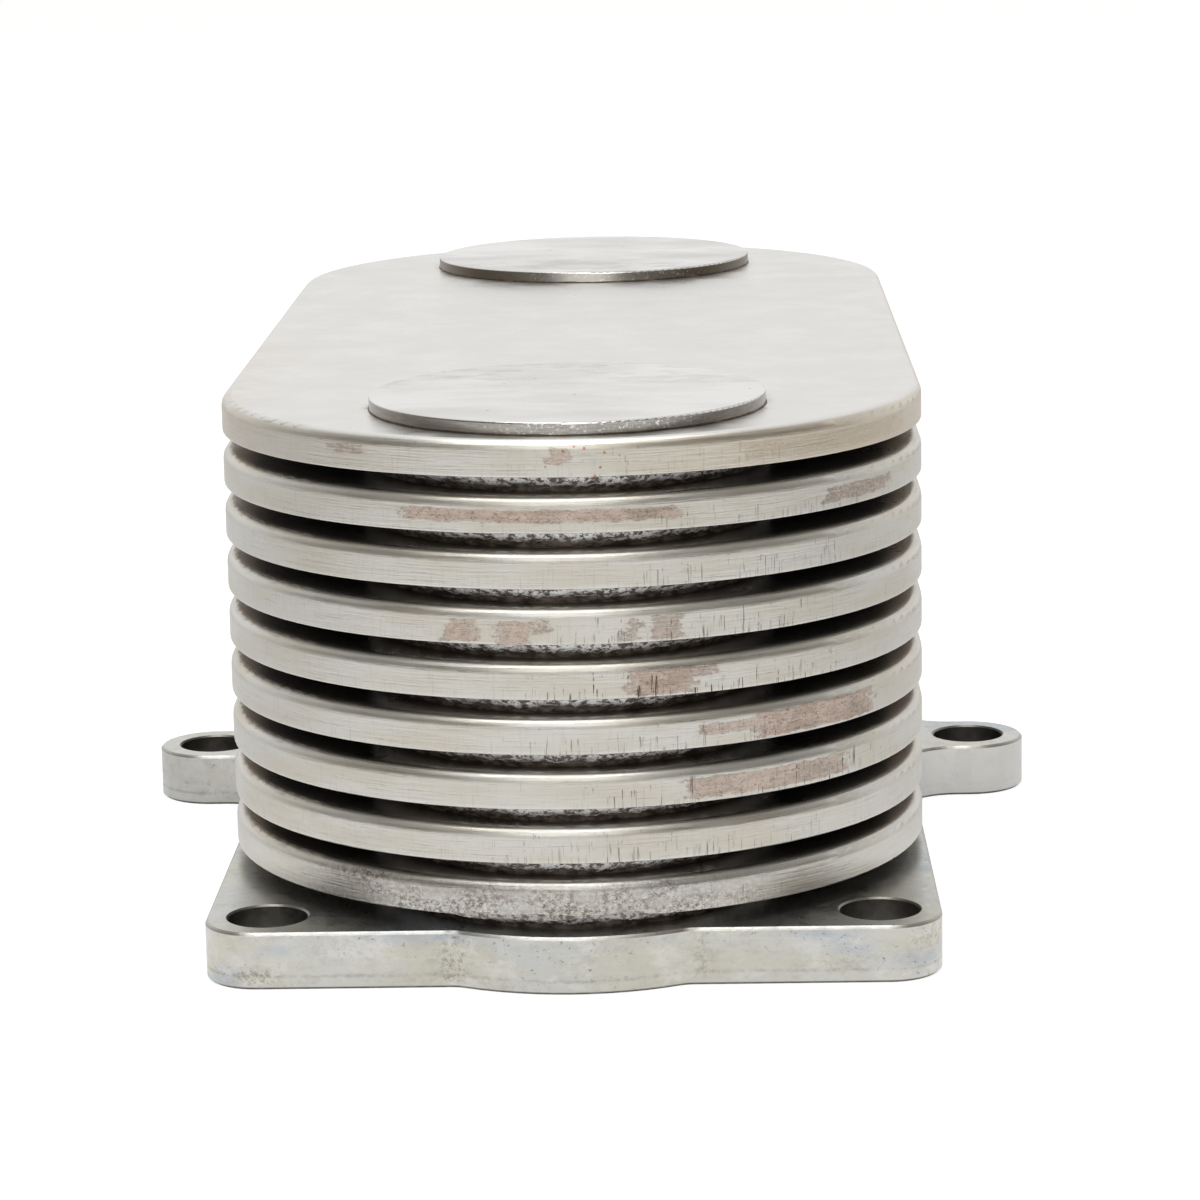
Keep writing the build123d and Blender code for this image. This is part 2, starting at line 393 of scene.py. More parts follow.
def drag_marks(finish):
    """Mask of the thin upright marks that rise from the wall's lower edge."""
    lines = finish.noise((3.6, 3.6, 0.16), 2, shift=finish.number * 6.7, roughness=0.8)
    lengths = finish.noise((0.5, 0.5, 0.5), 2, shift=finish.number * 2.9)
    reach = finish.rise(lengths, 0.35, 0.7, 0.6, 4.2)
    short = finish.rise(finish.math("SUBTRACT", finish.over_floor, reach), 0.4, -0.4)
    masks = []
    for owner, end, left, right, strength in DRAG_MARKS:
        if owner == finish.number:
            mask = finish.times(finish.band(finish.x, left, right, 5), finish.at_end(end))
            masks.append(finish.times(mask, strength))
    drag = finish.times(finish.most(DRAG_EVERYWHERE, *masks), finish.times(short, finish.upright))
    return finish.times(drag, finish.rise(lines, 0.57, 0.68))


def worn_wall(finish, colour):
    """Adds faint upright hatching and scattered dark specks to the wall."""
    hatching = finish.noise((2.2, 2.2, 0.3), 3, shift=finish.number * 8.3, roughness=0.7)
    hatching = finish.times(finish.upright, finish.rise(hatching, 0.52, 0.72, 0, 0.28))
    colour = finish.blend(hatching, colour, STEEL_DULL)
    specks = finish.noise((1.1, 1.1, 2.0), 3, shift=finish.number * 9.1, roughness=0.8)
    specks = finish.times(finish.rise(specks, 0.69, 0.74), finish.rise(finish.clouds, 0.42, 0.6, 0, 0.8))
    return finish.blend(finish.times(specks, finish.wall), colour, SOOT_AND_SHADE)


def first_plate_marks(finish, colour):
    """The top element's brownish wall, its few rust spots, and the stains on its lid."""
    tan = finish.times(finish.wall, finish.rise(finish.x, *TAN_RIGHT_X, 0, 0.6))
    colour = finish.blend(tan, colour, WALL_TAN)
    tan = finish.times(finish.wall, finish.rise(finish.x, *TAN_LEFT_X, 0, 0.4))
    colour = finish.blend(tan, colour, WALL_TAN_DARK)
    spots = finish.cells((0.8, 0.8, 0.8))
    near = finish.times(finish.band(finish.x, *RUST_REACH_X, 4), finish.rise(finish.y, *RUST_Y))
    spots = finish.times(finish.rise(spots, 0.22, 0.1), finish.times(near, 0.8))
    colour = finish.blend(finish.times(spots, finish.wall), colour, RUST)
    stain = finish.noise((0.25, 0.25, 0.25), 4, shift=51, roughness=0.65)
    for middle, strength in CAP_STAINS:
        from_cap = finish.distance(finish.x, finish.math("SUBTRACT", finish.y, middle))
        beyond = finish.math("SUBTRACT", from_cap, CAP_RADIUS)
        ring = finish.rise(beyond, STAIN_WIDTH, 0.0, 0, strength)
        ring = finish.times(ring, finish.rise(stain, 0.4, 0.62))
        colour = finish.blend(finish.times(ring, finish.rise(finish.wall, 1, 0)), colour, FLUX_BROWN)
    pink = finish.times(finish.rise(finish.x, *PINK_X, 0, 0.5), finish.band(finish.y, *PINK_REACH_Y, 18))
    return finish.blend(finish.times(pink, finish.rise(stain, 0.35, 0.6)), colour, PINK_TINT)


def crusted(finish, colour):
    """The lowest element's wall: overspilled braze metal with dark pits, thickest low down."""
    crust = finish.noise((1.35, 1.35, 1.7), 5, shift=31, roughness=0.78)
    crusted_wall = finish.times(finish.band(finish.x, *CRUST_REACH_X, 7), finish.wall)
    dulled = finish.times(crusted_wall, finish.rise(crust, 0.35, 0.55, 0.25, 0.6))
    colour = finish.blend(dulled, colour, STEEL_DULL)
    low = finish.rise(finish.over_floor, 4.6, 0.6, 0.45, 1.0)
    high_left = finish.band(finish.x, *HIGH_CRUST_REACH_X, 6)
    high_left = finish.times(high_left, finish.rise(finish.over_floor, 1.5, 3.5))
    thick = finish.times(crusted_wall, finish.most(low, high_left))
    drift = finish.noise((0.13, 0.13, 0.3), 3, shift=71)
    drift = finish.rise(drift, 0.44, 0.58, 0.2, 1.0)
    pits = finish.times(thick, finish.times(drift, finish.rise(crust, 0.51, 0.57)))
    colour = finish.blend(finish.times(pits, 0.7), colour, CRUST_BROWN)
    veins = finish.noise((1.0, 1.0, 1.5), 4, shift=81, roughness=0.6)
    veins = finish.rise(finish.math("ABSOLUTE", finish.math("SUBTRACT", veins, 0.5)), 0.03, 0.006)
    veins = finish.times(crusted_wall, finish.times(veins, finish.times(drift, 0.75)))
    colour = finish.blend(veins, colour, CRUST_BROWN)
    flakes = finish.times(thick, finish.rise(crust, 0.47, 0.36, 0, 0.7))
    return finish.blend(flakes, colour, PALE_STEEL_AND_SHEEN)


def tinted_and_shaded_gaps(finish, colour):
    """Darkens what lies deep in the gaps with a tint that is partly heat tint and partly painted shade.
    The lids under a gap get a painted brown shade behind their rim, and at the gap's sides a lighter brown
    that is painted light.
    """
    # partly painted shade: surfaces deep inside the stack's outline get the dark tint
    inside = finish.rise(finish.depth, *DEEP_IN_GAP)
    if finish.number == 1:
        half_sheet = TOP_PLATE_HIGH.z - PLATE_SHEET / 2
        inside = finish.times(inside, finish.rise(finish.z, half_sheet, half_sheet - 0.2))
    else:
        on_lid = (ELEMENT_HEIGHT - PLATE_SHEET, ELEMENT_HEIGHT - 0.2)
        # painted shade: the lid is darkened brown just behind its rim, inside the gap
        painted_lid_shade = finish.rise(finish.depth, 0.9, 3.0, 0, 0.8)
        painted_lid_shade = finish.times(painted_lid_shade, finish.rise(finish.over_floor, *on_lid))
        colour = finish.blend(painted_lid_shade, colour, BROWN_TINT_AND_SHADE)
        # painted light: the lids at a gap's side ends are painted a lighter brown and shaded less
        lit_gap_end = finish.rise(finish.math("ABSOLUTE", finish.x), *GAP_SIDE_X, 0, 0.8)
        lit_gap_end = finish.times(lit_gap_end, finish.band(finish.depth, 1.0, 5.0, 0.8))
        inside = finish.times(inside, finish.rise(lit_gap_end, 0, 0.8, 1, 0.3))
        colour = finish.blend(lit_gap_end, colour, LIT_GAP_END_BROWN)
        oxide = finish.times(finish.rise(lit_gap_end, 0, 0.8), finish.rise(finish.over_floor, *on_lid, 0, 0.7))
        finish.connect(finish.shader.inputs["Metallic"], finish.rise(oxide, 0, 1, 1, 0))
    return finish.blend(inside, colour, INNER_TINT_AND_SHADE)


def plate_steel(number):
    """Brushed sheet of one element, with its own stains, smears and drag marks."""
    finish = PlateFinish(number)
    colour = smeared(finish, brushed(finish))
    marks = drag_marks(finish)
    colour = worn_wall(finish, finish.blend(marks, colour, SOOT_AND_SHADE))
    if number == 1:
        colour = first_plate_marks(finish, colour)
    if number == 9:
        colour = crusted(finish, colour)
    colour = tinted_and_shaded_gaps(finish, colour)
    grain = finish.noise((0.9, 0.9, 7.0), 2, shift=number * 5.3)
    relief = finish.bump(finish.times(grain, finish.rise(finish.wall, 0, 1, 0.25, 1.0)), 0.012)
    relief = finish.bump(finish.times(finish.brushing, finish.upright), 0.05, relief)
    relief = finish.bump(marks, -0.05, relief)
    return finish.complete(colour, finish.rise(finish.brushing, 0.2, 0.8, 0.24, 0.42), relief)


# ---- the other materials ------------------------------------------------------------

CAP_SMUDGE_Y = (88, 62)         # distance from the part's middle where smudges start and are full


def cap_steel():
    """Cut disc: smudged towards the middle of the part, with brown specks and a dark edge. The edge's
    darkness is partly painted shade, with a painted highlight left in the middle of the rear cap's edge
    and a brown painted dark reflection towards the sides.
    """
    finish = Finish("cap_steel")
    clouds = finish.noise((0.05, 0.09, 0.2), 5, shift=2)
    scuffs = finish.noise((0.12, 0.22, 0.5), 5, shift=9, roughness=0.65)
    colour = finish.blend(finish.rise(clouds, 0.35, 0.7), CAP_STEEL, CAP_STEEL_DULL)
    from_middle = finish.math("ABSOLUTE", finish.y)
    smudge = finish.times(finish.rise(scuffs, 0.47, 0.62), finish.rise(from_middle, *CAP_SMUDGE_Y, 0, 0.7))
    colour = finish.blend(finish.times(smudge, finish.rise(finish.up, 0.6, 0.9)), colour, STEEL_DULL)
    side = finish.rise(finish.up, 0.7, 0.3)
    grain = finish.noise((0.5, 0.5, 4.0), 4, shift=4, roughness=0.7)
    # painted highlight: the middle of the rear cap's edge is left bright
    bright = finish.times(finish.rise(finish.y, -20, 20), finish.band(finish.x, -7, 5, 4))
    dark = finish.times(side, finish.rise(bright, 0, 1, 1, 0.1))
    colour = finish.blend(finish.times(dark, finish.rise(grain, 0.35, 0.65, 0.7, 1.0)), colour, CAP_WALL_SHADED)
    # painted reflection: the caps' walls turn dark brown towards their sides
    painted_side_reflection = finish.rise(finish.math("ABSOLUTE", finish.x), 4, 20, 0, 0.85)
    painted_side_reflection = finish.times(painted_side_reflection, finish.rise(finish.y, -20, 20, 0.35, 1.0))
    colour = finish.blend(finish.times(side, painted_side_reflection), colour, CAP_WALL_REFLECTION_BROWN)
    crystals = finish.noise((1.8, 1.8, 2.6), 4, shift=61, roughness=0.75)
    crystals = finish.times(finish.rise(crystals, 0.56, 0.66), finish.band(finish.x, -9, 18, 5))
    colour = finish.blend(finish.times(crystals, side), colour, BRAZE_BRIGHT)
    specks = finish.rise(finish.cells((0.17, 0.17, 0)), 0.055, 0.03, 0, 0.9)
    specks = finish.times(specks, finish.rise(finish.up, 0.9, 0.95))
    colour = finish.blend(specks, colour, SPECK_BROWN)
    relief = finish.bump(finish.noise((1.5, 1.5, 1.5), 2), 0.006)
    return finish.complete(colour, finish.rise(clouds, 0.3, 0.7, 0.20, 0.32), relief)


def ring_steel():
    """Dark brown ring between two elements, with lighter brown clouds."""
    finish = Finish("ring_steel")
    stains = finish.noise((0.5, 0.5, 1.2), 5, shift=6, roughness=0.7)
    colour = finish.blend(finish.rise(stains, 0.4, 0.7), RING_BROWN, BROWN_TINT_AND_SHADE)
    relief = finish.bump(stains, 0.12)
    return finish.complete(colour, finish.rise(stains, 0.3, 0.7, 0.4, 0.65), relief)


def braze_metal(name, grain_colour):
    """Crystalline braze metal that has run out of a joint: bright grains and dark pits."""
    finish = Finish(name, metallic=0.2)
    grains = finish.noise((0.95, 0.95, 1.3), 5, shift=3, roughness=0.72)
    patches = finish.noise((0.16, 0.16, 0.4), 3, shift=8)
    colour = finish.blend(finish.rise(grains, 0.45, 0.53), BRAZE_DARK, grain_colour)
    colour = finish.blend(finish.rise(patches, 0.57, 0.75, 0, 0.6), colour, BRAZE_BROWN)
    relief = finish.bump(grains, 0.35)
    return finish.complete(colour, finish.rise(grains, 0.3, 0.7, 0.5, 0.26), relief)


def seam_braze():
    """Dark brown line of braze and flux at a cap's foot, whose near-black is partly painted contact
    shadow.
    """
    finish = Finish("seam_braze")
    stains = finish.noise((0.3, 0.3, 0.6), 4, shift=12)
    colour = finish.blend(finish.rise(stains, 0.52, 0.68), SEAM_DARK_SHADE, SEAM_BROWN)
    relief = finish.bump(finish.noise((3, 3, 3), 3), 0.05)
    return finish.complete(colour, finish.rise(stains, 0.3, 0.7, 0.4, 0.6), relief)


BORE_MARGIN = 0.2               # how far the bore's painted shade reaches past the bolt hole's wall
BORE_FADE = 0.15


def bolt_hole_mask(finish):
    """1 on the walls of the base plate's bolt holes."""
    masks = []
    for mount in frame["record"]["mounts"]:
        if mount["kind"] == "bolt_pattern":
            sizes = mount["dims"]
            across, along = sizes["spacing_x_mm"] / 2, sizes.get("spacing_y_mm", 0) / 2
            out = finish.math("SUBTRACT", finish.math("ABSOLUTE", finish.x), across)
            back = finish.math("SUBTRACT", finish.math("ABSOLUTE", finish.y), along)
            edge = sizes["hole_r_mm"] + BORE_MARGIN
            masks.append(finish.rise(finish.distance(out, back), edge + BORE_FADE, edge))
    return finish.most(*masks)


# Scuffed places on the base plate's front face: reach in X, reach in height, strength.
BASE_SCUFFS = (
    (-18, -14, 1.0, 7.6, 0.55),
    (-46, -40, 0.8, 3.0, 0.6),
    (-22, -6, 0.8, 1.8, 0.25),
    (16.5, 19, 1.0, 7.6, 0.4),
    (46, 51, 4.6, 7.6, 0.4),
    (30, 42, 2.0, 4.0, 0.2),
    (-36, -26, 4.0, 7.0, 0.15),
)
FRONT_FACE_Y = (-90, -100)      # where its scuffs start and are full
EAR_START = 51                  # about where the ears leave the plate's long sides
EAR_HALF_LENGTH = 27
TIDE_HEIGHT = (1.7, 2.1)        # of a faint line along the plate's edge
CHAMFER_SLOPE = (0.62, 0.80)    # how far up a chamfer's face looks
CHAMFER_BRIGHT = 0.16           # height of the bright upper part of the top chamfer, left out of the painted shade


def scuffed(finish, colour):
    """Adds the scuffed places on the base plate's front face."""
    blotch = finish.noise((1.3, 1.3, 1.5), 5, shift=55, roughness=0.8)
    for left, right, low, high, strength in BASE_SCUFFS:
        mask = finish.times(finish.band(finish.x, left, right, 1.6), finish.band(finish.z, low, high, 0.8))
        mask = finish.times(finish.times(mask, finish.rise(finish.y, *FRONT_FACE_Y)), strength)
        colour = finish.blend(finish.times(mask, finish.rise(blotch, 0.48, 0.6)), colour, SCUFF_GREY)
    return colour


def edged(finish, colour, side):
    """Darkens the base plate's chamfers as painted shade, all but a bright line, and pales the ear towards
    +X.
    """
    bright_end = BASE_TOP - CHAMFER_BRIGHT
    # painted shade: the chamfers are greyed below a thin bright line
    painted_arris_shade = finish.band(finish.up, *CHAMFER_SLOPE, 0.06)
    painted_arris_shade = finish.times(painted_arris_shade, finish.rise(finish.z, bright_end, bright_end - 0.08, 0.5, 1.0))
    colour = finish.blend(painted_arris_shade, colour, ARRIS_SHADE_GREY)
    out, back = finish.math("ABSOLUTE", finish.x), finish.math("ABSOLUTE", finish.y)
    ears = finish.times(finish.rise(out, EAR_START - 3, EAR_START + 3), side)
    ears = finish.times(ears, finish.rise(back, EAR_HALF_LENGTH + 3, EAR_HALF_LENGTH - 3, 0, 0.8))
    ears = finish.times(ears, finish.rise(finish.x, -50, 50))
    return finish.blend(ears, colour, EAR_PALE)


def base_steel():
    """Machined plate with thin oxide clouds, scuffs, dark specks and faint milling marks, a painted
    contact shadow along its foot and painted shade in its bolt holes.
    """
    finish = Finish("base_steel")
    side = finish.rise(finish.up, 0.7, 0.3)
    clouds = finish.noise((0.045, 0.045, 0.12), 5, shift=5, roughness=0.6)
    patches = finish.noise((0.03, 0.03, 0.10), 4, shift=15)
    mottle = finish.noise((0.6, 0.6, 0.8), 5, shift=25, roughness=0.75)
    lay = finish.noise((0.04, 0.04, 2.2), 3, shift=2, roughness=0.7)
    colour = finish.blend(finish.rise(clouds, 0.42, 0.6, 0, 0.7), BASE_STEEL, BASE_YELLOW)
    blue = finish.rise(finish.math("ABSOLUTE", finish.x), 6, 18, 0.25, 0.85)
    blue = finish.times(blue, finish.rise(patches, 0.52, 0.62))
    colour = finish.blend(blue, colour, BASE_BLUE)
    fine = finish.noise((0.16, 0.16, 0.3), 5, shift=45, roughness=0.7)
    colour = finish.blend(finish.times(side, finish.rise(fine, 0.5, 0.66, 0, 0.55)), colour, PALE_STEEL_AND_SHEEN)
    colour = finish.blend(finish.times(side, finish.rise(fine, 0.44, 0.3, 0, 0.45)), colour, STEEL_DULL)
    colour = finish.blend(finish.rise(mottle, 0.5, 0.75, 0, 0.45), colour, STEEL_DULL)
    colour = finish.blend(finish.times(side, finish.rise(lay, 0.55, 0.8, 0, 0.35)), colour, PALE_STEEL_AND_SHEEN)
    tide = finish.times(finish.band(finish.z, *TIDE_HEIGHT, 0.25), finish.rise(mottle, 0.4, 0.6, 0.1, 0.5))
    colour = finish.blend(finish.times(tide, side), colour, TIDE_OLIVE)
    specks = finish.noise((1.3, 1.3, 1.6), 4, shift=35, roughness=0.8)
    specks = finish.times(finish.rise(specks, 0.60, 0.68), finish.rise(patches, 0.42, 0.6, 0.12, 1.0))
    colour = finish.blend(finish.times(specks, 0.75), colour, SOOT_AND_SHADE)
    colour = edged(finish, scuffed(finish, colour), side)
    # painted shadow: a dark line along the plate's lower edge, where it meets the floor
    foot = finish.times(finish.rise(finish.z, 0.45, 0.1), finish.rise(mottle, 0.3, 0.6, 0.6, 1.0))
    colour = finish.blend(finish.times(foot, finish.rise(finish.up, 0.95, 0.8)), colour, SOOT_AND_SHADE)
    # painted shade: the bolt holes' walls and chamfers are greyed dark
    colour = finish.blend(bolt_hole_mask(finish), colour, BORE_SHADE_GREY)
    milling = finish.noise((0.05, 2.6, 0.05), 2, shift=1)
    relief = finish.bump(finish.times(milling, finish.up), 0.03)
    relief = finish.bump(mottle, 0.03, relief)
    return finish.complete(colour, finish.rise(mottle, 0.25, 0.75, 0.26, 0.42), relief)


def pan_steel():
    """Lower plates: sheet with a heat tint that darkens towards the ports, partly painted shade."""
    finish = Finish("pan_steel", metallic=0.8)
    depth = finish.edge_depth()
    clouds = finish.noise((0.08, 0.08, 0.3), 4, shift=44)
    colour = finish.blend(finish.rise(clouds, 0.35, 0.7), STEEL_DULL, BROWN_TINT_AND_SHADE)
    # partly painted shade: the lower plates darken deep inside the stack
    colour = finish.blend(finish.rise(depth, 1.5, 7), colour, INNER_TINT_AND_SHADE)
    relief = finish.bump(finish.noise((1.2, 1.2, 1.2), 3), 0.02)
    return finish.complete(colour, finish.rise(clouds, 0.3, 0.7, 0.35, 0.5), relief)


def fin_steel():
    """Corrugated sheet inside an element, with braze wetting on its crests."""
    finish = Finish("fin_steel")
    clouds = finish.noise((0.3, 0.05, 0.5), 4, shift=14)
    colour = finish.blend(finish.rise(clouds, 0.4, 0.7), FIN_STEEL, COPPER)
    relief = finish.bump(finish.noise((2, 0.3, 2), 3), 0.02)
    return finish.complete(colour, finish.rise(clouds, 0.3, 0.7, 0.3, 0.45), relief)


def seal_rubber():
    """Black nitrile with a dusty bloom."""
    finish = Finish("seal_rubber", metallic=0.0)
    bloom = finish.noise((0.4, 0.4, 0.4), 4, shift=21)
    colour = finish.blend(finish.rise(bloom, 0.45, 0.75), RUBBER, RUBBER_BLOOM)
    relief = finish.bump(finish.noise((2.5, 2.5, 2.5), 3), 0.02)
    return finish.complete(colour, finish.rise(bloom, 0.3, 0.7, 0.45, 0.62), relief)


def dress(node, material):
    """Gives a CAD node this material in place of its plain one."""
    mesh = frame["nodes"][node].data
    mesh.materials.clear()
    mesh.materials.append(material)


def dress_cad_nodes():
    dress("base_plate", base_steel())
    cap, seal, ring = cap_steel(), seal_rubber(), ring_steel()
    pan, fin = pan_steel(), fin_steel()
    for end in ENDS:
        dress(f"cap_{end}", cap)
        dress(f"o_ring_{end}", seal)
    for number in ELEMENTS:
        dress(f"upper_plate_{number}", plate_steel(number))
        dress(f"lower_plate_{number}", pan)
        dress(f"turbulator_{number}", fin)
        for end in ENDS:
            dress(f"spacer_ring_{end}_{number}", ring)


# ---- braze that has run out of the joints -------------------------------------------

COLLAR_SEGMENTS = 480
COLLAR_ROWS = 8
COLLAR_DROP = 1.75              # how far it hangs down the ring
COLLAR_REACH = 1.9              # how far it runs out under the element where it is thickest
COLLAR_LEAST = 0.45             # and where it is thinnest
COLLAR_SKIN = 0.04              # what stands out from the ring at the least
COLLAR_BITE = 0.3               # how far its back lies inside the ring
THICK_FROM, THICK_TO = -150, -72    # degrees round the front ring; the rear one is turned round
THICK_FADE = 30                 # degrees over which it thins out past those
SEAM_SEGMENTS = 360
SEAM_HEIGHT = 0.22
SEAM_REACH = 0.18
SEAM_BITE = 0.1                 # how far its back lies inside the cap
SPILL_ANGLES = (-111, -74)      # degrees round the front end's own centre
SPILL_WIDTH = 0.22
SPILL_DEPTH = 0.42
SPILL_TAPER = 1 / 6             # share of its length over which each end thins out
SPILL_BITE = 0.1                # how far its middle lies inside the wall and over its foot
SPILL_LEAST = 0.01              # half its width and height at the ends
SPILL_SEGMENTS = 220
SPILL_POINTS = 10


def add_piece(name, grid, material):
    """Turns a finished grid of faces into a smooth piece that rides on the part's one body."""
    bmesh.ops.recalc_face_normals(grid, faces=grid.faces)
    mesh = bpy.data.meshes.new(name)
    grid.to_mesh(mesh)
    grid.free()
    for face in mesh.polygons:
        face.use_smooth = True
    mesh.materials.append(material)
    piece = bpy.data.objects.new(name, mesh)
    bpy.context.scene.collection.objects.link(piece)
    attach(piece, "root")


def around(angle, radius):
    """The point at this angle on a circle round the origin."""
    return Vector((math.cos(angle), math.sin(angle), 0)) * radius


def lathe(middle, section_at, angles, closed=True):
    """Solid swept about an upright axis. section_at(angle) gives (radius, height) points.
    It is a whole ring if closed, and otherwise has a flat end at the first and last angle."""
    grid = bmesh.new()
    rows = []
    for angle in angles:
        places = [middle + around(angle, radius) + Vector((0, 0, height))
                  for radius, height in section_at(angle)]
        rows.append([grid.verts.new(place * METRE) for place in places])
    pairs = list(zip(rows, rows[1:]))
    if closed:
        pairs.append((rows[-1], rows[0]))
    else:
        grid.faces.new(rows[0])
        grid.faces.new(rows[-1])
    for row, following in pairs:
        for here, there in zip(range(len(row)), [*range(1, len(row)), 0]):
            grid.faces.new((row[here], following[here], following[there], row[there]))
    return grid


def foot_of(node, at_top=False):
    """Middle of a round node's underside, or of its top, and its radius."""
    low, high = in_mm(node)
    height = high.z if at_top else low.z
    middle = Vector(((low.x + high.x) / 2, (low.y + high.y) / 2, height))
    return middle, (high.x - low.x) / 2


def full_turn(segments):
    """Angles all the way round, in this many equal steps."""
    return [2 * math.pi * step / segments for step in range(segments)]


def lumps(place, per_mm, seed):
    """Smooth noise from -1 to 1 with this many features to the millimetre."""
    return noise.noise(place * per_mm + Vector((seed, seed * 0.7, -seed)))


def thickness(angle, end):
    """How heavy a collar is at an angle: 1 on the side it has run out to, falling to 0 past it."""
    degrees = math.degrees(angle) - (180 if end == "rear" else 0)
    degrees = (degrees + 180) % 360 - 180
    outside = max(THICK_FROM - degrees, degrees - THICK_TO, 0)
    return max(0.0, 1 - outside / THICK_FADE)


def braze_collar(number, end, material):
    """Lumpy collar round the upper part of a ring, hanging from the element above."""
    middle, radius = foot_of(f"spacer_ring_{end}_{number}", at_top=True)
    seed = number * 3.7 + (50 if end == "rear" else 0)

    def section(angle):
        rim = around(angle, radius)
        drop = COLLAR_DROP * (1 + 0.22 * lumps(rim, 0.3, seed) + 0.16 * lumps(rim, 1.3, seed))
        reach = COLLAR_LEAST + (COLLAR_REACH - COLLAR_LEAST) * thickness(angle, end)
        points = [(radius - COLLAR_BITE, 0), (radius - COLLAR_BITE, -drop)]
        for row in range(COLLAR_ROWS + 1):
            share = row / COLLAR_ROWS
            height = -drop * (1 - share)
            place = rim + Vector((0, 0, height))
            swell = reach * math.sin(math.pi / 2 * share) ** 0.8
            rough = 0.24 * lumps(place, 1.3, seed) + 0.16 * lumps(place, 3.1, seed)
            out = swell * (1 + 0.2 * lumps(rim, 0.6, seed)) + rough
            points.append((radius + max(COLLAR_SKIN, out), height))
        return points

    collar = lathe(middle, section, full_turn(COLLAR_SEGMENTS))
    add_piece(f"braze_collar_{end}_{number}", collar, material)


def cap_seam(end, material):
    """Thin uneven line of braze round a cap's foot."""
    middle, radius = foot_of(f"cap_{end}")

    def section(angle):
        rim = around(angle, radius)
        size = 1 + 0.4 * lumps(rim, 0.25, 5) + 0.2 * lumps(rim, 0.9, 5)
        height, reach = SEAM_HEIGHT * size, SEAM_REACH * size
        return [(radius - SEAM_BITE, 0), (radius - SEAM_BITE, height), (radius + 0.02, height),
                (radius + 0.25 * reach, 0.4 * height), (radius + reach, 0)]

    add_piece(f"cap_seam_{end}", lathe(middle, section, full_turn(SEAM_SEGMENTS)), material)


def braze_spill(material):
    """Ragged bead that has run down to the lower edge of the lowest element's front wall."""
    floor = in_mm("upper_plate_9")[0].z
    middle = Vector((0, -STRAIGHT_END, floor))
    start, end = (math.radians(a) for a in SPILL_ANGLES)

    def section(angle):
        share = (angle - start) / (end - start)
        rim = around(angle, HALF_WIDTH)
        taper = min(1, share / SPILL_TAPER, (1 - share) / SPILL_TAPER) + 0.02
        width = taper * SPILL_WIDTH * (1 + 0.6 * lumps(rim, 0.5, 2) + 0.4 * lumps(rim, 1.4, 2))
        depth = taper * SPILL_DEPTH * (1 + 0.7 * lumps(rim, 0.4, 9) + 0.4 * lumps(rim, 1.7, 9))
        points = []
        for turn in full_turn(SPILL_POINTS):
            swell = 1 + 0.25 * lumps(rim + Vector((0, 0, math.sin(turn))), 2.2, 4)
            out = max(width, SPILL_LEAST) * swell * math.cos(turn)
            above = max(depth, SPILL_LEAST) * swell * math.sin(turn)
            points.append((HALF_WIDTH - SPILL_BITE + out, SPILL_BITE + above))
        return points

    steps = [start + (end - start) * step / SPILL_SEGMENTS for step in range(SPILL_SEGMENTS + 1)]
    add_piece("braze_spill", lathe(middle, section, steps, closed=False), material)


def make_braze():
    collar_metal, seam_metal = braze_metal("braze_metal", BRAZE_BRIGHT), seam_braze()
    braze_spill(braze_metal("spilt_braze", BRAZE_GREY))
    for end in ENDS:
        cap_seam(end, seam_metal)
        for number in ELEMENTS:
            braze_collar(number, end, collar_metal)


# ---- studio -------------------------------------------------------------------------

CAMERA_PLACE = (17.6, -621.9, 159.7)    # millimetres; what follows is in metres
CAMERA_LENS = 118.4             # on a sensor 36 wide
CAMERA_TURN = -1.44             # degrees off straight along +Y
CAMERA_PITCH = 11.7             # degrees below the horizon
CAMERA_ROLL = -1.1
FLOOR_SIZE = 12.0
FLOOR_ALBEDO = 0.42
FLOOR_SEEN_GLOW = 0.78          # where the camera sees it
FLOOR_GLOW = 0.70               # in reflections, on the camera's side
FLOOR_SIDE_GLOW = 0.42          # in reflections, to the sides and at the back
FLOOR_FADE = (-0.1, -0.9)       # headings in Y between which that turns into FLOOR_GLOW
ROOM_SHADE = (0.30, 0.285, 0.265)
ROOM_FADE = (-0.1, 0.75)        # headings in Y between which the room turns from shade to white

# Rectangular lights: name, centre, the point it is turned to, its size and its radiance.
SOFTBOXES = (
    ("overhead", (-0.05, -0.15, 1.1), (0, 0, 0), (0.7, 0.9), 3.2),
    ("front", (-0.08, -1.3, 0.85), (0, 0, 0.06), (0.95, 1.1), 1.5),
)


def add_camera():
    turn, pitch, roll = (math.radians(a) for a in (CAMERA_TURN, CAMERA_PITCH, CAMERA_ROLL))
    level = math.cos(pitch)
    ahead = Vector((math.sin(turn) * level, math.cos(turn) * level, -math.sin(pitch)))
    right = Vector((math.cos(turn), -math.sin(turn), 0))
    above = right.cross(ahead)
    tilted_right = right * math.cos(roll) + above * math.sin(roll)
    tilted_above = above * math.cos(roll) - right * math.sin(roll)
    camera = bpy.data.objects.new("camera", bpy.data.cameras.new("camera"))
    bpy.context.scene.collection.objects.link(camera)
    axes = Matrix((tilted_right, tilted_above, -ahead)).transposed()
    camera.matrix_world = Matrix.Translation(Vector(CAMERA_PLACE) * METRE) @ axes.to_4x4()
    camera.data.lens = CAMERA_LENS
    camera.data.clip_start = 0.01
    bpy.context.scene.camera = camera


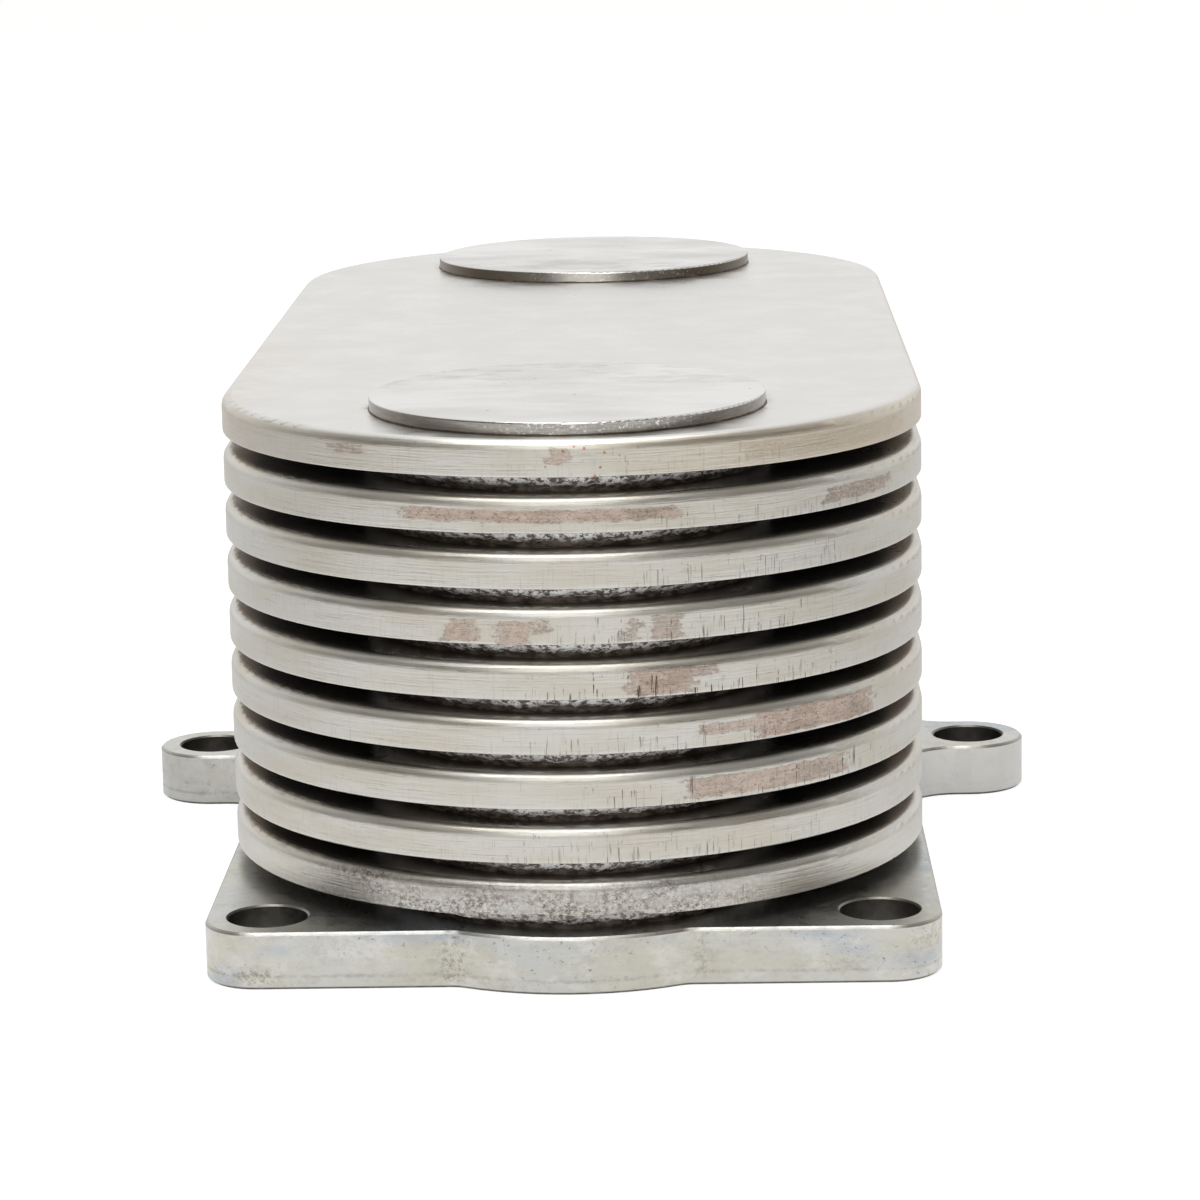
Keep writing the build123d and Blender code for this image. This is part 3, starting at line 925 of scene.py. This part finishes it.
def add_softbox(name, place, aim, size, radiance):
    """Light whose power is worked out from its radiance, and which the camera can't see."""
    light = bpy.data.lights.new(name, "AREA")
    light.shape = "RECTANGLE"
    light.size, light.size_y = size
    light.energy = radiance * math.pi * size[0] * size[1]
    lamp = bpy.data.objects.new(name, light)
    bpy.context.scene.collection.objects.link(lamp)
    lamp.location = place
    lamp.rotation_euler = (Vector(aim) - Vector(place)).to_track_quat("-Z", "Y").to_euler()
    lamp.visible_camera = False


def add_floor():
    half = FLOOR_SIZE / 2
    outline = ((-half, -half), (half, -half), (half, half), (-half, half))
    grid = bmesh.new()
    grid.faces.new([grid.verts.new((x, y, 0)) for x, y in outline])
    mesh = bpy.data.meshes.new("floor")
    grid.to_mesh(mesh)
    grid.free()
    floor = bpy.data.objects.new("floor", mesh)
    bpy.context.scene.collection.objects.link(floor)
    material = bpy.data.materials.new("floor_white")
    material.use_nodes = True
    shader = material.node_tree.nodes["Principled BSDF"]
    shader.inputs["Base Color"].default_value = (FLOOR_ALBEDO, FLOOR_ALBEDO, FLOOR_ALBEDO, 1)
    shader.inputs["Roughness"].default_value = 1.0
    shader.inputs["Specular IOR Level"].default_value = 0.0
    shader.inputs["Emission Color"].default_value = (1, 1, 1, 1)
    light_floor(material, shader)
    mesh.materials.append(material)


def light_floor(material, shader):
    """The floor's glow: even where it is seen, and weaker to the sides in reflections.
    A heading is the direction of a point from the middle of the floor."""
    nodes, links = material.node_tree.nodes, material.node_tree.links
    heading = nodes.new("ShaderNodeVectorMath")
    heading.operation = "NORMALIZE"
    links.new(nodes.new("ShaderNodeTexCoord").outputs["Object"], heading.inputs[0])
    split = nodes.new("ShaderNodeSeparateXYZ")
    links.new(heading.outputs[0], split.inputs[0])
    towards_camera = nodes.new("ShaderNodeMapRange")
    towards_camera.interpolation_type = "SMOOTHSTEP"
    settings = (*FLOOR_FADE, FLOOR_SIDE_GLOW, FLOOR_GLOW)
    for socket, setting in zip(towards_camera.inputs[1:5], settings):
        socket.default_value = setting
    links.new(split.outputs[1], towards_camera.inputs["Value"])
    seen = nodes.new("ShaderNodeMix")
    seen.inputs[3].default_value = FLOOR_SEEN_GLOW
    links.new(nodes.new("ShaderNodeLightPath").outputs["Is Camera Ray"], seen.inputs[0])
    links.new(towards_camera.outputs[0], seen.inputs[2])
    links.new(seen.outputs[0], shader.inputs["Emission Strength"])


def add_world():
    """White room whose near side, behind the camera, is darker in reflections."""
    world = bpy.data.worlds.new("studio")
    bpy.context.scene.world = world
    world.use_nodes = True
    nodes, links = world.node_tree.nodes, world.node_tree.links
    background = nodes["Background"]
    direction = nodes.new("ShaderNodeTexCoord").outputs["Generated"]
    split = nodes.new("ShaderNodeSeparateXYZ")
    links.new(direction, split.inputs[0])
    fade = nodes.new("ShaderNodeMapRange")
    fade.interpolation_type = "SMOOTHSTEP"
    fade.inputs["From Min"].default_value, fade.inputs["From Max"].default_value = ROOM_FADE
    links.new(split.outputs[1], fade.inputs["Value"])
    room = nodes.new("ShaderNodeMix")
    room.data_type = "RGBA"
    room.inputs[6].default_value = (*ROOM_SHADE, 1)
    room.inputs[7].default_value = (1, 1, 1, 1)
    links.new(fade.outputs[0], room.inputs[0])
    seen = nodes.new("ShaderNodeMix")
    seen.data_type = "RGBA"
    seen.inputs[7].default_value = (1, 1, 1, 1)
    links.new(room.outputs[2], seen.inputs[6])
    links.new(nodes.new("ShaderNodeLightPath").outputs["Is Camera Ray"], seen.inputs[0])
    links.new(seen.outputs[2], background.inputs["Color"])


def make_studio():
    add_camera()
    add_world()
    add_floor()
    for softbox in SOFTBOXES:
        add_softbox(*softbox)
    bpy.context.scene.view_settings.view_transform = "Standard"


dress_cad_nodes()
make_braze()
make_studio()
